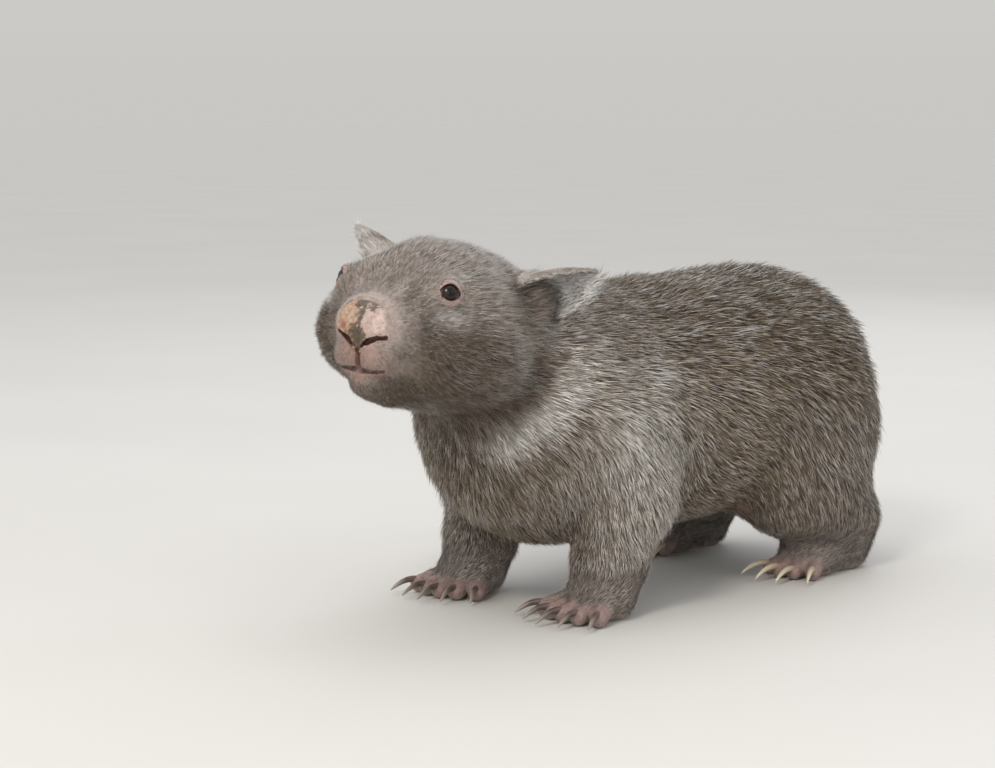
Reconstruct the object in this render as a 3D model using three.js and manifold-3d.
// A young common wombat standing on all four feet, its head raised and turned a little to its left.
// Lengths are in millimetres. It faces -Y, its left side is +X, and it stands on Z = 0.
// Its flesh is one smooth field of blended balls and bones, meshed a part at a time, and the parts
// are divided by thin cuts. The outline is that of the coat, out to the tips of its hair.
import * as THREE from "three";
import { mergeVertices } from "three/addons/utils/BufferGeometryUtils.js";
import Module from "manifold-3d";

const wasm = await Module();
wasm.setup();

// Driving dimensions
const BODY_LENGTH = 335;
const BODY_WIDTH = 188;
const BACK_HEIGHT = 220;
const BELLY_HEIGHT = 40;
const HEAD_WIDTH = 134;
const EYE_SPACING = 82;
const EYE_RADIUS = 7.8;
const LID = 1.9;
const EAR_LENGTH = 47;
const EAR_WIDTH = 38;
const EAR_CUP = 13;
const EAR_CURL = 0.9;
const EAR_THICK = 4;
const NOSE_WIDTH = 35;
const MOUTH_WIDTH = 38;
const FORE_TRACK = 116;
const HIND_TRACK = 128;
const FORE_CLAW = 20;
const HIND_CLAW = 24;
const CLAW_WIDTH = 5.2;
const WRIST_HEIGHT = 31;
const GAP = 0.3;

// How the head is carried: turned to the left, nose up, and leaned over a little, in degrees
const HEAD_PLACE = new THREE.Vector3(6, -187, 185);
const HEAD_TURN = 14;
const HEAD_PITCH = 15;
const HEAD_LEAN = 6;

// The size of the mesh cells in each part, and the number of triangles that it is thinned to
const MESH = {
  torso: { cell: 10, count: 1700 },
  neck: { cell: 8, count: 420 },
  tail: { cell: 4, count: 160 },
  head: { cell: 4, count: 2700 },
  nose: { cell: 3, count: 420 },
  leg: { cell: 7, count: 420 },
  foot: { cell: 3.4, count: 660 },
};

const { degToRad } = THREE.MathUtils;
const SIDES = { left: 1, right: -1 };

// Two distances joined with a blend k wide
function join(a, b, k) {
  const h = Math.max(k - Math.abs(a - b), 0) / k;
  return Math.min(a, b) - (h * h * k) / 4;
}

// The distance to an ellipsoid
function ball([cx, cy, cz], [rx, ry, rz]) {
  return (x, y, z) => {
    const u = (x - cx) / rx;
    const v = (y - cy) / ry;
    const w = (z - cz) / rz;
    const near = Math.hypot(u, v, w);
    const steep = Math.hypot(u / rx, v / ry, w / rz);
    return steep < 1e-9 ? -Math.min(rx, ry, rz) : (near * (near - 1)) / steep;
  };
}

// The distance to a bone: a line from a to b whose radius runs from ra to rb
function bone([ax, ay, az], ra, [bx, by, bz], rb) {
  const [dx, dy, dz] = [bx - ax, by - ay, bz - az];
  const long = dx * dx + dy * dy + dz * dz;
  return (x, y, z) => {
    const along = ((x - ax) * dx + (y - ay) * dy + (z - az) * dz) / long;
    const t = Math.min(1, Math.max(0, along));
    return Math.hypot(x - ax - t * dx, y - ay - t * dy, z - az - t * dz) - (ra + (rb - ra) * t);
  };
}

// Several fields joined in order, each over the width of its own blend
function blended(first, ...others) {
  return (x, y, z) => {
    let d = first(x, y, z);
    for (const [field, width] of others) d = join(d, field(x, y, z), width);
    return d;
  };
}

// Torso: rump, belly and chest, as wide as a barrel and gently arched along the back
const MIDDLE = (BACK_HEIGHT + BELLY_HEIGHT) / 2;
const HALF_DEPTH = (BACK_HEIGHT - BELLY_HEIGHT) / 2;
const HALF_WIDTH = BODY_WIDTH / 2;
const RUMP = { y: 0.36 * BODY_LENGTH, long: 0.3 * BODY_LENGTH };
const BELLY = { y: 0.08 * BODY_LENGTH, long: 0.38 * BODY_LENGTH };
const CHEST = { y: -0.25 * BODY_LENGTH, long: 0.24 * BODY_LENGTH };
const torso = blended(
  ball([0, RUMP.y, MIDDLE], [0.96 * HALF_WIDTH, RUMP.long, 0.95 * HALF_DEPTH]),
  [ball([0, BELLY.y, MIDDLE - 4], [HALF_WIDTH, BELLY.long, 0.97 * HALF_DEPTH]), 30],
  [ball([0, CHEST.y, MIDDLE - 6], [0.88 * HALF_WIDTH, CHEST.long, 0.94 * HALF_DEPTH]), 40],
);

// Neck: short and nearly as thick as the head
const NECK_ROOT = [0, CHEST.y - 14, MIDDLE + 8];
const NECK_TOP = [5, HEAD_PLACE.y + 34, HEAD_PLACE.z - 6];
const neck = bone(NECK_ROOT, 68, NECK_TOP, 49);

// Each leg goes down in bones from the shoulder or hip to a flat foot.
const FORE = {
  shoulder: [0.42 * FORE_TRACK, CHEST.y + 2, MIDDLE - 10],
  elbow: [0.56 * FORE_TRACK, CHEST.y + 12, 78],
  wrist: [0.5 * FORE_TRACK, CHEST.y, 34],
  palm: [0.5 * FORE_TRACK, CHEST.y - 9, 12],
};
const HIND = {
  hip: [0.38 * HIND_TRACK, RUMP.y + 6, MIDDLE - 34],
  knee: [0.5 * HIND_TRACK, RUMP.y - 20, 66],
  ankle: [0.5 * HIND_TRACK, RUMP.y + 30, 34],
  heel: [0.5 * HIND_TRACK, RUMP.y + 33, 13],
  arch: [0.5 * HIND_TRACK, RUMP.y - 4, 12],
};
const mirrored = ([x, y, z], side) => [side * x, y, z];

const FORE_TOE = { count: 5, base: 18, tip: 25, reach: 31, turn: -5, radius: 6.2, high: 5.8 };
const HIND_TOE = { count: 4, base: 12.5, tip: 17.5, reach: 28, turn: 4, radius: 5.8, high: 5.4 };

// Where each toe of a foot starts and ends, fanned out from its root, and the way that it points
function toesOf(root, side, { count, base, tip, reach, turn, high }) {
  const spun = degToRad(turn);
  const at = (across, ahead, z) => [
    side * (root[0] + across * Math.cos(spun) + ahead * Math.sin(spun)),
    root[1] - ahead * Math.cos(spun) + across * Math.sin(spun),
    z,
  ];
  return Array.from({ length: count }, (_, i) => {
    const across = (2 * i) / (count - 1) - 1;
    const ahead = reach * (1 - 0.24 * across * across);
    const [from, to] = [at(base * across, 0.35 * reach, high + 4), at(tip * across, ahead, high)];
    return { from, to, way: new THREE.Vector3(to[0] - from[0], to[1] - from[1], 0).normalize() };
  });
}

const feet = {};
for (const [name, side] of Object.entries(SIDES)) {
  feet[`fore_${name}`] = { side, toes: toesOf(FORE.palm, side, FORE_TOE), toe: FORE_TOE };
  feet[`hind_${name}`] = { side, toes: toesOf(HIND.arch, side, HIND_TOE), toe: HIND_TOE };
}

function toeFields(key) {
  const { toes, toe } = feet[key];
  return toes.map(({ from, to }) => [bone(from, toe.radius + 0.6, to, toe.radius), 2.5]);
}

function foreleg(name, side) {
  const [shoulder, elbow, wrist, palm] = ["shoulder", "elbow", "wrist", "palm"].map((joint) =>
    mirrored(FORE[joint], side),
  );
  return blended(
    bone(shoulder, 46, elbow, 31),
    [bone(elbow, 31, wrist, 23), 14],
    [bone(wrist, 23, palm, 16), 12],
    [ball(palm, [24, 21, 15]), 10],
    ...toeFields(`fore_${name}`),
  );
}

function hindleg(name, side) {
  const [hip, knee, ankle, heel, arch] = ["hip", "knee", "ankle", "heel", "arch"].map((joint) =>
    mirrored(HIND[joint], side),
  );
  const firstToe = [arch[0] - side * 18, arch[1] + 14, 9];
  return blended(
    ball(hip, [45, 74, 64]),
    [bone(knee, 35, ankle, 25), 36],
    [bone(ankle, 24, heel, 15.5), 14],
    [bone(heel, 15, arch, 17), 12],
    [ball(arch, [21, 20, 14]), 8],
    [bone(firstToe, 4.5, [firstToe[0] - side * 3, firstToe[1] - 4, 8], 4.5), 3],
    ...toeFields(`hind_${name}`),
  );
}

// Tail: a short stub under the rump
const TAIL_ROOT = [0, RUMP.y + RUMP.long - 22, MIDDLE - 32];
const TAIL_TIP = [0, RUMP.y + RUMP.long - 1, MIDDLE - 44];
const tail = bone(TAIL_ROOT, 11, TAIL_TIP, 6.5);

// The head's own frame has its origin between the cheeks, with the nose at -Y.
const headMatrix = new THREE.Matrix4()
  .makeTranslation(HEAD_PLACE)
  .multiply(new THREE.Matrix4().makeRotationZ(degToRad(HEAD_TURN)))
  .multiply(new THREE.Matrix4().makeRotationX(-degToRad(HEAD_PITCH)))
  .multiply(new THREE.Matrix4().makeRotationY(degToRad(HEAD_LEAN)));
const toHead = headMatrix.clone().invert();

const CHEEK = 0.5 * HEAD_WIDTH;
const NOSE = [0, -80, -10];
const MOUTH_Z = NOSE[2] - 29;
const MOUTH_HALF = MOUTH_WIDTH / 2;
const EYE_X = EYE_SPACING / 2;
const EYE = [EYE_X - 0.8 * EYE_RADIUS, -49, 18];
const EYE_WAY = new THREE.Vector3(0.72, -0.68, 0.12).normalize();
const EAR_ROOT = [0.72 * CHEEK, 28, 35];
const headBlend = blended(
  ball([0, 2, 9], [0.82 * CHEEK, 63, 50]),
  ...[1, -1].flatMap((side) => [
    [ball([0.52 * side * CHEEK, -10, -10], [0.48 * CHEEK, 47, 34]), 22],
    [ball([0.62 * side * EYE_X, -40, 13], [15.5, 19, 18]), 14],
  ]),
  [ball([0, -16, -26], [35, 46, 26]), 20],
  [bone([0, -28, 0], 31, [0, -54, -9], 23), 18],
  [bone([-7.5, -64, -9], 15.5, [7.5, -64, -9], 15.5), 10],
  ...[1, -1].flatMap((side) => [
    [bone([0.55 * side * MOUTH_HALF, -50, -28], 13.5, [0.48 * side * MOUTH_HALF, -65, -28], 12), 6],
    [ball([0.96 * side * EAR_ROOT[0], EAR_ROOT[1], EAR_ROOT[2] - 2], [16, 17, 17]), 12],
  ]),
  [bone([0, -34, -40], 16, [0, -57, -40], 12.5), 6],
);
const into = toHead.elements;
const head = (x, y, z) =>
  headBlend(
    into[0] * x + into[4] * y + into[8] * z + into[12],
    into[1] * x + into[5] * y + into[9] * z + into[13],
    into[2] * x + into[6] * y + into[10] * z + into[14],
  );

// The whole animal but for its ears, eyes and claws
const legs = Object.entries(SIDES).flatMap(([name, side]) => [
  foreleg(name, side),
  hindleg(name, side),
]);
function flesh(x, y, z) {
  let d = join(torso(x, y, z), neck(x, y, z), 40);
  for (const leg of legs) d = join(d, leg(x, y, z), 18);
  d = join(d, tail(x, y, z), 10);
  return join(d, head(x, y, z), 20);
}

// Meshes the part of a field that lies in a box, as one closed surface: a vertex in each cell that the
// surface crosses, moved onto it, and a quad round each edge of the grid that it crosses
const CORNERS = [0, 1, 2, 3, 4, 5, 6, 7].map((c) => [c & 1, (c >> 1) & 1, c >> 2]);
const EDGES = [0, 1, 2].flatMap((axis) =>
  CORNERS.flatMap((corner, c) => (corner[axis] ? [] : [[c, c + 2 ** axis]])),
);
const AROUND = [
  [[1, 0, 0], [0, -1, -1], [0, 0, -1], [0, 0, 0], [0, -1, 0]],
  [[0, 1, 0], [-1, 0, -1], [-1, 0, 0], [0, 0, 0], [0, 0, -1]],
  [[0, 0, 1], [-1, -1, 0], [0, -1, 0], [0, 0, 0], [-1, 0, 0]],
];
function meshOf(field, low, high, cell) {
  const size = low.map((v, i) => Math.ceil((high[i] - v) / cell) + 3);
  const at = (i, axis) => low[axis] + (i - 1) * cell;
  const inBox = (x, y, z) =>
    Math.max(low[0] - x, x - high[0], low[1] - y, y - high[1], low[2] - z, z - high[2]);
  const whole = (x, y, z) => Math.max(field(x, y, z), inBox(x, y, z));
  const index = (i, j, k) => (k * size[1] + j) * size[0] + i;
  const value = new Float64Array(size[0] * size[1] * size[2]);
  for (let k = 0; k < size[2]; k++)
    for (let j = 0; j < size[1]; j++)
      for (let i = 0; i < size[0]; i++) value[index(i, j, k)] = whole(at(i, 0), at(j, 1), at(k, 2));
  // A grid square whose corners lie in and out by turns would pinch the surface, so it is filled.
  const steps = [1, size[0], size[0] * size[1]];
  const pairs = [[steps[0], steps[1]], [steps[1], steps[2]], [steps[2], steps[0]]];
  for (let pass = 0; pass < 3; pass++)
    for (let n = 0; n + steps[1] + steps[2] < value.length; n++)
      for (const [one, two] of pairs) {
        const square = [n, n + one, n + one + two, n + two];
        const [a, b, c, d] = square.map((corner) => value[corner] < 0);
        if (a === c && b === d && a !== b)
          for (const corner of square) value[corner] = Math.min(value[corner], -0.01 * cell);
      }
  const vertexOf = new Map();
  const points = [];
  function vertexIn(i, j, k) {
    const key = index(i, j, k);
    if (vertexOf.has(key)) return vertexOf.get(key);
    const v = CORNERS.map(([a, b, c]) => value[index(i + a, j + b, k + c)]);
    const p = [0, 0, 0];
    let crossings = 0;
    for (const [a, b] of EDGES) {
      if (v[a] < 0 === v[b] < 0) continue;
      const t = v[a] / (v[a] - v[b]);
      for (let n = 0; n < 3; n++) p[n] += CORNERS[a][n] + t * (CORNERS[b][n] - CORNERS[a][n]);
      crossings++;
    }
    const q = [i, j, k].map((g, n) => at(g + p[n] / crossings, n));
    const middle = q.slice();
    for (let step = 0; step < 3; step++) {
      const d = whole(...q);
      const e = 0.02 * cell;
      const slope = q.map((_, n) => {
        const s = q.slice();
        s[n] += e;
        return (whole(...s) - d) / e;
      });
      const steep = Math.max(slope[0] ** 2 + slope[1] ** 2 + slope[2] ** 2, 0.3);
      for (let n = 0; n < 3; n++) {
        const moved = q[n] - (d * slope[n]) / steep;
        q[n] = Math.min(middle[n] + 0.45 * cell, Math.max(middle[n] - 0.45 * cell, moved));
      }
    }
    points.push(...q);
    vertexOf.set(key, points.length / 3 - 1);
    return points.length / 3 - 1;
  }
  const faces = [];
  for (let k = 1; k < size[2] - 1; k++)
    for (let j = 1; j < size[1] - 1; j++)
      for (let i = 1; i < size[0] - 1; i++) {
        const here = value[index(i, j, k)] < 0;
        for (const [[a, b, c], ...cells] of AROUND) {
          if (value[index(i + a, j + b, k + c)] < 0 === here) continue;
          const quad = cells.map(([x, y, z]) => vertexIn(i + x, j + y, k + z));
          if (!here) quad.reverse();
          faces.push(quad[0], quad[1], quad[2], quad[0], quad[2], quad[3]);
        }
      }
  return closed(points, faces);
}

// Thins a closed mesh to a number of triangles by shrinking its edges to points, where that moves its
// surface least. Each vertex carries the sum of the squared distances to the planes it has stood for.
const TERMS = [[0, 0], [0, 1], [0, 2], [0, 3], [1, 1], [1, 2], [1, 3], [2, 2], [2, 3], [3, 3]];
function thinned(geometry, count) {
  const place = geometry.attributes.position;
  const points = Array.from({ length: place.count }, (_, i) =>
    new THREE.Vector3().fromBufferAttribute(place, i),
  );
  const index = geometry.index.array;
  let faces = Array.from({ length: index.length / 3 }, (_, i) => [...index.slice(3 * i, 3 * i + 3)]);
  const normalOf = ([a, b, c]) =>
    points[b].clone().sub(points[a]).cross(points[c].clone().sub(points[a]));
  const sums = points.map(() => new Float64Array(10));
  for (const face of faces) {
    const normal = normalOf(face);
    const area = normal.length();
    normal.divideScalar(area || 1);
    const plane = [...normal.toArray(), -normal.dot(points[face[0]])];
    for (const v of face) TERMS.forEach(([i, j], k) => (sums[v][k] += area * plane[i] * plane[j]));
  }
  const cost = (q, { x, y, z }) => {
    const v = [x, y, z, 1];
    return TERMS.reduce((sum, [i, j], k) => sum + (i === j ? 1 : 2) * q[k] * v[i] * v[j], 0);
  };
  function shrunk(a, b) {
    const q = sums[a].map((v, k) => v + sums[b][k]);
    const middle = points[a].clone().lerp(points[b], 0.5);
    const m = new THREE.Matrix3(q[0], q[1], q[2], q[1], q[4], q[5], q[2], q[5], q[7]);
    const best = new THREE.Vector3(-q[3], -q[6], -q[8]).applyMatrix3(m.clone().invert());
    const long = points[a].distanceTo(points[b]);
    const sound = m.determinant() > 1e-6 && best.distanceTo(middle) < long;
    const to = sound ? best : middle;
    return { a, b, q, to, cost: cost(q, to) + 1e-4 * long ** 4 };
  }
  while (faces.length > count) {
    const around = points.map(() => []);
    for (const face of faces) for (const v of face) around[v].push(face);
    const edges = faces.flatMap(([a, b, c]) =>
      [[a, b], [b, c], [c, a]].filter(([from, to]) => from < to).map(([from, to]) => shrunk(from, to)),
    );
    edges.sort((one, two) => one.cost - two.cost);
    const held = new Set();
    let left = Math.min(Math.ceil(0.04 * faces.length), Math.ceil((faces.length - count) / 2));
    for (const { a, b, q, to } of edges) {
      if (left === 0) break;
      if (held.has(a) || held.has(b)) continue;
      const ring = [a, b].map((v) => new Set(around[v].flat()));
      if ([...ring[0]].filter((v) => ring[1].has(v)).length !== 4) continue;
      const kept = [...around[a], ...around[b]].filter((f) => !(f.includes(a) && f.includes(b)));
      const before = kept.map(normalOf);
      const old = [points[a], points[b]];
      points[a] = to;
      points[b] = to;
      const turned = kept.some((f, i) => {
        const now = normalOf(f);
        return now.dot(before[i]) < 0.5 * now.length() * before[i].length() + 1e-6;
      });
      if (turned) {
        [points[a], points[b]] = old;
        continue;
      }
      for (const v of [...ring[0], ...ring[1]]) held.add(v);
      sums[a] = q;
      for (const face of around[b]) {
        if (face.includes(a)) face.gone = true;
        else face[face.indexOf(b)] = a;
      }
      left--;
    }
    const before = faces.length;
    faces = faces.filter((face) => !face.gone);
    if (faces.length === before) break;
  }
  return closed(points.flatMap((p) => p.toArray()), faces.flat());
}

function closed(points, faces) {
  const geometry = new THREE.BufferGeometry();
  geometry.setAttribute("position", new THREE.Float32BufferAttribute(points, 3));
  geometry.setIndex(faces);
  return geometry;
}

// A closed solid from a geometry, and a geometry from a solid
function solid(geometry) {
  const bare = geometry.clone();
  bare.deleteAttribute("normal");
  bare.deleteAttribute("uv");
  const merged = mergeVertices(bare, 1e-4);
  return new wasm.Manifold(
    new wasm.Mesh({
      numProp: 3,
      vertProperties: new Float32Array(merged.attributes.position.array),
      triVerts: new Uint32Array(merged.index.array),
    }),
  );
}
function geometryOf(manifold) {
  const mesh = manifold.getMesh();
  const geometry = new THREE.BufferGeometry();
  geometry.setAttribute("position", new THREE.BufferAttribute(mesh.vertProperties, 3));
  geometry.setIndex(new THREE.BufferAttribute(mesh.triVerts, 1));
  geometry.computeVertexNormals();
  return geometry;
}
const largest = (manifold) =>
  manifold.decompose().reduce((a, b) => (a.volume() > b.volume() ? a : b));

// The part of a solid ahead of a plane, and the part behind it, each half a gap away from it
const offset = (point, way, by) => point.clone().addScaledVector(way, by);
const trimmed = (body, way, point) => body.trimByPlane(way.toArray(), way.dot(point));
const ahead = (body, { way, point }) => trimmed(body, way, offset(point, way, GAP / 2));
const behind = (body, { way, point }) =>
  trimmed(body, way.clone().negate(), offset(point, way, -GAP / 2));

// A closed solid through rings of points, each ring with the same count, capped at both ends
function loft(rings) {
  const count = rings[0].length;
  const points = rings.flatMap((ring) => ring.flatMap((p) => p.toArray()));
  const faces = [];
  for (let i = 0; i + 1 < rings.length; i++)
    for (let j = 0; j < count; j++) {
      const [a, b] = [i * count + j, i * count + ((j + 1) % count)];
      faces.push(a, b, b + count, a, b + count, a + count);
    }
  const last = (rings.length - 1) * count;
  for (let j = 0; 2 * j + 2 < count; j++) {
    const [a, b, c, d] = [j, j + 1, count - 2 - j, count - 1 - j];
    faces.push(a, d, c, last + a, last + c, last + d);
    if (b !== c) faces.push(a, c, b, last + a, last + b, last + c);
  }
  return closed(points, faces);
}

// A round stalk along a curve, with the radius given for each place along it
function stalk(curve, radiusAt, rows, sides) {
  const frames = curve.computeFrenetFrames(rows);
  const rings = Array.from({ length: rows + 1 }, (_, i) => {
    const middle = curve.getPointAt(i / rows);
    const radius = radiusAt(i / rows);
    return Array.from({ length: sides }, (_, j) => {
      const turn = (2 * Math.PI * j) / sides;
      const out = frames.normals[i].clone().multiplyScalar(Math.cos(turn));
      out.addScaledVector(frames.binormals[i], Math.sin(turn));
      return offset(middle, out, radius);
    });
  });
  return loft(rings);
}

// An ear is a leaf, cupped along its length, curled over at its front rim and pointed at its tip.
// Its root stands in the head.
const EAR_WAYS = {
  left: { along: [0.88, -0.14, 0.38], opens: [0.36, -0.72, -0.56] },
  right: { along: [0.84, -0.1, 0.5], opens: [0.3, -0.6, -0.6] },
};
const EAR_SUNK = 12;
function earOf(name, side, grow) {
  const { along, opens } = EAR_WAYS[name];
  const up = new THREE.Vector3(side * along[0], along[1], along[2]).normalize();
  const out = new THREE.Vector3(side * opens[0], opens[1], opens[2]);
  out.addScaledVector(up, -out.dot(up)).normalize();
  const fore = new THREE.Vector3().crossVectors(up, out).multiplyScalar(-side);
  const root = new THREE.Vector3(...mirrored(EAR_ROOT, side));
  const [rows, columns] = [8, 8];
  const rings = Array.from({ length: rows + 1 }, (_, i) => {
    const station = -EAR_SUNK + ((EAR_LENGTH + EAR_SUNK) * i) / rows;
    const u = station + grow * Math.sign(i - rows / 2);
    const t = Math.max(0, station / EAR_LENGTH);
    const wide = 0.86 + 0.62 * t - 1.43 * t ** 2.2;
    const half = 0.5 * EAR_WIDTH * wide + 0.8 + grow;
    const cup = EAR_CUP * Math.min(1, wide) ** 1.2;
    const thick = EAR_THICK * (1.15 - 0.5 * t);
    const face = (way) =>
      Array.from({ length: columns + 1 }, (_, j) => {
        const s = way * ((2 * j) / columns - 1);
        const curl = EAR_CURL * Math.max(0, s);
        const rise = cup * s * (2 + 3 * curl);
        const slope = new THREE.Vector2(-rise, half).normalize();
        const off = way * (0.5 * thick * (1 - 0.7 * s ** 4) + grow);
        return root
          .clone()
          .addScaledVector(up, u)
          .addScaledVector(fore, half * s + off * slope.x)
          .addScaledVector(out, cup * (s * s * (1 + curl) - 0.5) + off * slope.y);
      });
    const ring = [...face(1), ...face(-1)];
    return side > 0 ? ring.reverse() : ring;
  });
  return solid(loft(rings).applyMatrix4(headMatrix));
}
const ears = (grow) => Object.entries(SIDES).map(([name, side]) => earOf(name, side, grow));

// An eye, and the ring of its lids, in a frame of its own that looks out of the head
const EYE_ACROSS = new THREE.Vector3().crossVectors(THREE.Object3D.DEFAULT_UP, EYE_WAY).normalize();
const EYE_UP = new THREE.Vector3().crossVectors(EYE_WAY, EYE_ACROSS);
const eyeMatrix = new THREE.Matrix4().makeBasis(EYE_ACROSS, EYE_UP, EYE_WAY).setPosition(...EYE);
function placedEye(geometry, side) {
  geometry.applyMatrix4(eyeMatrix);
  if (side < 0) geometry.scale(-1, 1, 1).index.array.reverse();
  return solid(geometry.applyMatrix4(headMatrix));
}
const eyeBall = (side, grow) =>
  placedEye(new THREE.SphereGeometry(EYE_RADIUS + grow, 16, 10).rotateX(Math.PI / 2), side);
const lids = (side) =>
  placedEye(
    new THREE.TorusGeometry(0.86 * EYE_RADIUS, LID, 6, 16)
      .scale(1.02, 0.9, 1)
      .translate(0, 0, 0.48 * EYE_RADIUS),
    side,
  );

// Grooves of the face run through points of its skin, each given across and up.
function onFace([x, z]) {
  const from = new THREE.Vector3(0.6 * x, -45, 0.5 * (z - 12));
  const way = new THREE.Vector3(0.4 * x, -30, 0.5 * (z + 12)).normalize();
  let [low, high] = [0, 90];
  for (let step = 0; step < 30; step++) {
    const middle = (low + high) / 2;
    if (headBlend(...offset(from, way, middle)) < 0) low = middle;
    else high = middle;
  }
  return offset(from, way, low);
}
function groove(points, thick, rows) {
  const curve = new THREE.CatmullRomCurve3(points.map(onFace));
  const radiusAt = (t) => 0.25 + thick * Math.sin(Math.PI * (0.1 + 0.8 * t));
  return solid(stalk(curve, radiusAt, rows, 5).applyMatrix4(headMatrix));
}
const MOUTH_STEPS = [-1, -0.7, -0.35, 0, 0.35, 0.7, 1];
const mouth = groove(
  MOUTH_STEPS.map((s) => [1.1 * s * MOUTH_HALF, MOUTH_Z + 0.8 * s * s]),
  1.1,
  10,
);
const cleft = groove([[0, NOSE[2] - 16], [0, NOSE[2] - 20], [0, MOUTH_Z]], 0.9, 4);
const nostril = (side) =>
  groove([[side * 3, -23], [side * 7, -19.5], [side * 12, -16.5], [side * 17, -16]], 1.7, 5);
const grooves = wasm.Manifold.union([mouth, cleft, nostril(1), nostril(-1)]);

// The nose pad is a shield on the end of the muzzle, with its point in the cleft of the lip.
function nosePad(grow) {
  const half = NOSE_WIDTH / 2;
  const right = [[0, 14], [8, 13], [14, 8.5], [half, 2], [half, -5], [13, -9.5], [6, -14], [0, -18.5]];
  const left = right.slice(1, -1).reverse();
  const rim = [...right, ...left.map(([x, z]) => [-x, z]), right[0]];
  const outline = new THREE.SplineCurve(rim.map(([x, z]) => new THREE.Vector2(x, z)));
  const points = outline.getSpacedPoints(24).slice(0, -1);
  const shape = new THREE.Shape(points.map((p) => p.multiplyScalar(1 + grow / half)));
  const geometry = new THREE.ExtrudeGeometry(shape, { depth: 24, bevelEnabled: false });
  geometry.rotateX(Math.PI / 2).translate(NOSE[0], NOSE[1] + 8 + grow, NOSE[2]);
  return solid(geometry.applyMatrix4(headMatrix));
}

// Claws are curved and tapered, and stand in the end of each toe.
const CLAW_ARCS = {
  fore: { long: FORE_CLAW, heights: [7.5, 9, 6.6, 2.6] },
  hind: { long: HIND_CLAW, heights: [6.8, 8.8, 6.8, 2.4] },
};
const CLAW_PLACES = [-0.15, 0.3, 0.75, 1.1];
function claw(kind, { toes, toe }, i, grow) {
  const { to, way } = toes[i];
  const { long, heights } = CLAW_ARCS[kind];
  const middling = 1 - Math.abs((2 * i) / (toe.count - 1) - 1);
  const reach = long * (0.86 + 0.14 * middling);
  const root = new THREE.Vector3(...to);
  const curve = new THREE.CatmullRomCurve3(
    CLAW_PLACES.map((share, n) => offset(root, way, 1 + share * reach).setZ(heights[n])),
  );
  const radiusAt = (t) => (CLAW_WIDTH / 2) * (1 - 0.62 * t ** 1.6) + grow;
  return solid(stalk(curve, radiusAt, 5, 6));
}

// The cuts: one behind the head, one ahead of the shoulders, a dome round each leg, one at each wrist
// and ankle, and a ball round the tail
const NAPE = {
  way: new THREE.Vector3(0, -1, 0).transformDirection(headMatrix),
  point: new THREE.Vector3(0, 46, 0).applyMatrix4(headMatrix),
};
const WITHERS = {
  way: new THREE.Vector3(0, -0.94, 0.34).normalize(),
  point: new THREE.Vector3(0, CHEST.y - 12, 205),
};
const FLOOR = { way: new THREE.Vector3(0, 0, 1), point: new THREE.Vector3(0, 0, -GAP / 2) };
const WRIST = { way: FLOOR.way, point: new THREE.Vector3(0, 0, WRIST_HEIGHT) };
const LIMBS = {
  fore: { x: 78, y: CHEST.y + 6, wide: 50, long: 50, top: 152 },
  hind: { x: 80, y: RUMP.y + 4, wide: 52, long: 70, top: 158 },
};
const DOME_BASE = 90;
function dome({ x, y, wide, long, top }, side, grow) {
  const arc = [0, 1, 2, 3, 4, 5].map((i) => (Math.PI / 2) * (i / 5));
  const round = arc.map(
    (turn) => new THREE.Vector2(Math.cos(turn), DOME_BASE + (top - DOME_BASE) * Math.sin(turn)),
  );
  round[round.length - 1].x = 0;
  const outline = [new THREE.Vector2(0, -10), new THREE.Vector2(1, -10), ...round];
  const geometry = new THREE.LatheGeometry(outline, 24).rotateX(Math.PI / 2);
  const place = geometry.attributes.position;
  for (let i = 0; i < place.count; i++) {
    const [u, v] = [place.getX(i), place.getY(i)];
    const squarer = Math.hypot(u, v) / Math.cbrt(Math.abs(u) ** 3 + Math.abs(v) ** 3 || 1);
    place.setXY(i, squarer * u, squarer * v);
  }
  return solid(geometry.scale(wide + grow, long + grow, 1).translate(side * x, y, grow));
}
const tailBall = (grow) =>
  solid(
    new THREE.SphereGeometry(1, 16, 10)
      .scale(13 + grow, 18 + grow, 15 + grow)
      .translate(0, RUMP.y + RUMP.long - 3, MIDDLE - 42),
  );

// What each sub-part is coloured
const look = (color, roughness) => new THREE.MeshStandardMaterial({ color, roughness, metalness: 0 });
const LOOKS = {
  head: look("#84766a", 0.9),
  body: look("#6b5e53", 0.9),
  leg: look("#786b60", 0.9),
  ear: look("#93877c", 0.9),
  paw: look("#8b716b", 0.75),
  foreNail: look("#5b5149", 0.45),
  hindNail: look("#cdbc9c", 0.45),
  pad: look("#c99484", 0.55),
  tail: look("#b18a83", 0.7),
  eye: look("#17100d", 0.08),
};
const group = new THREE.Group();
function add(name, body, material) {
  const mesh = new THREE.Mesh(geometryOf(body), material);
  mesh.name = name;
  group.add(mesh);
}
const part = (low, high, { cell, count }) => solid(thinned(meshOf(flesh, low, high, cell), count));

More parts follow.
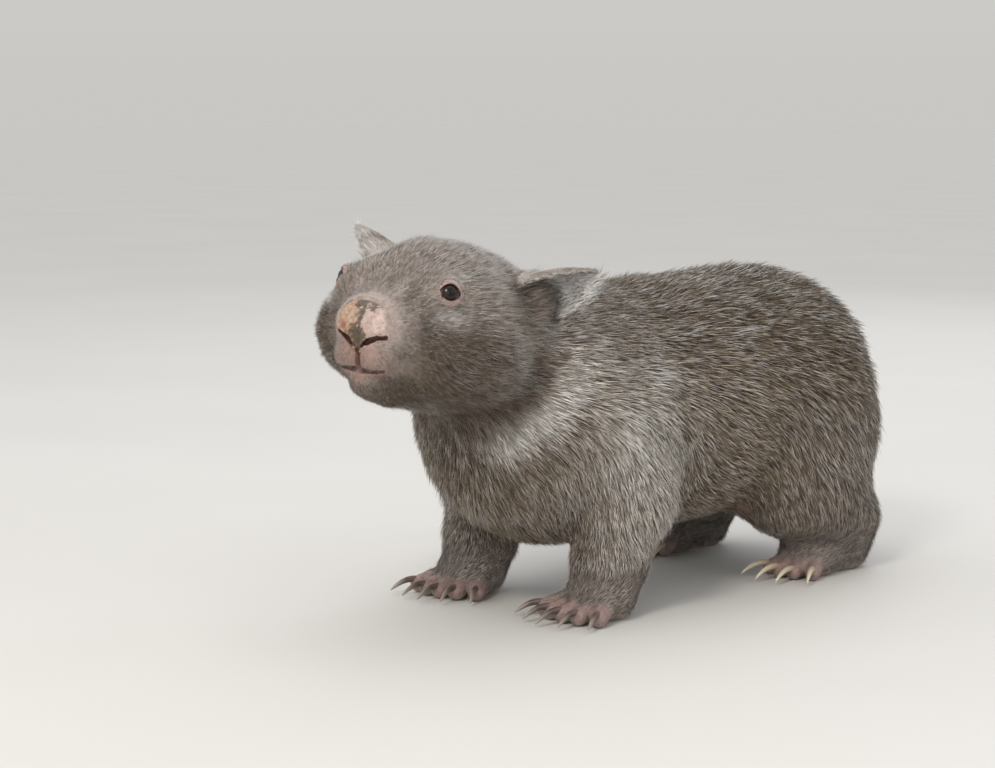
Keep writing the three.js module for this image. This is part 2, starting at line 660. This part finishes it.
// Torso, neck and tail
const legHollows = Object.values(SIDES).flatMap((side) => [
  dome(LIMBS.fore, side, GAP),
  dome(LIMBS.hind, side, GAP),
]);
const barrel = behind(part([-110, -190, 25], [110, 250, 250], MESH.torso), WITHERS);
const belly = ahead(barrel, WRIST);
add("torso", largest(belly.subtract(wasm.Manifold.union([...legHollows, tailBall(GAP)]))), LOOKS.body);
const collar = ahead(part([-95, -215, 40], [95, -70, 250], MESH.neck), WITHERS);
add("neck", largest(behind(collar, NAPE)), LOOKS.head);
add("tail", largest(part([-25, 195, 70], [25, 250, 140], MESH.tail).intersect(tailBall(0))), LOOKS.tail);

// Head, with its nose, ears and eyes
const skull = ahead(part([-80, -275, 80], [80, -120, 260], MESH.head), NAPE);
const lidded = skull.add(wasm.Manifold.union([lids(1), lids(-1)]));
const sockets = [...ears(GAP), eyeBall(1, GAP), eyeBall(-1, GAP), nosePad(GAP), grooves];
add("head", largest(lidded.subtract(wasm.Manifold.union(sockets))), LOOKS.head);
const snout = part([-40, -275, 140], [40, -215, 235], MESH.nose);
add("nose", largest(snout.intersect(nosePad(0)).subtract(grooves)), LOOKS.pad);
for (const [name, side] of Object.entries(SIDES)) {
  add(`ear_${name}`, earOf(name, side, 0), LOOKS.ear);
  add(`eye_${name}`, eyeBall(side, 0), LOOKS.eye);
}

// Legs, feet and claws
for (const [name, side] of Object.entries(SIDES))
  for (const [kind, limb] of Object.entries(LIMBS)) {
    const foot = feet[`${kind}_${name}`];
    const [near, far] = side > 0 ? [15, 112] : [-112, -15];
    const between = (low, high, mesh) =>
      part([near, limb.y - limb.long - 45, low], [far, limb.y + limb.long + 8, high], mesh);
    const upper = between(WRIST_HEIGHT - 12, limb.top + 10, MESH.leg).intersect(dome(limb, side, 0));
    add(`${kind}leg_${name}`, largest(ahead(upper, WRIST)), LOOKS.leg);
    const lower = behind(ahead(between(-12, WRIST_HEIGHT + 10, MESH.foot), FLOOR), WRIST);
    const nails = (grow) => foot.toes.map((_, i) => claw(kind, foot, i, grow));
    add(`${kind}foot_${name}`, largest(lower.subtract(wasm.Manifold.union(nails(GAP)))), LOOKS.paw);
    nails(0).forEach((nail, i) => add(`claw_${kind}_${name}_${i + 1}`, nail, LOOKS[`${kind}Nail`]));
  }

// The origin is on the floor under the middle of the animal's box.
const middle = new THREE.Box3().setFromObject(group).getCenter(new THREE.Vector3());
group.position.set(-middle.x, -middle.y, 0);
export default group;
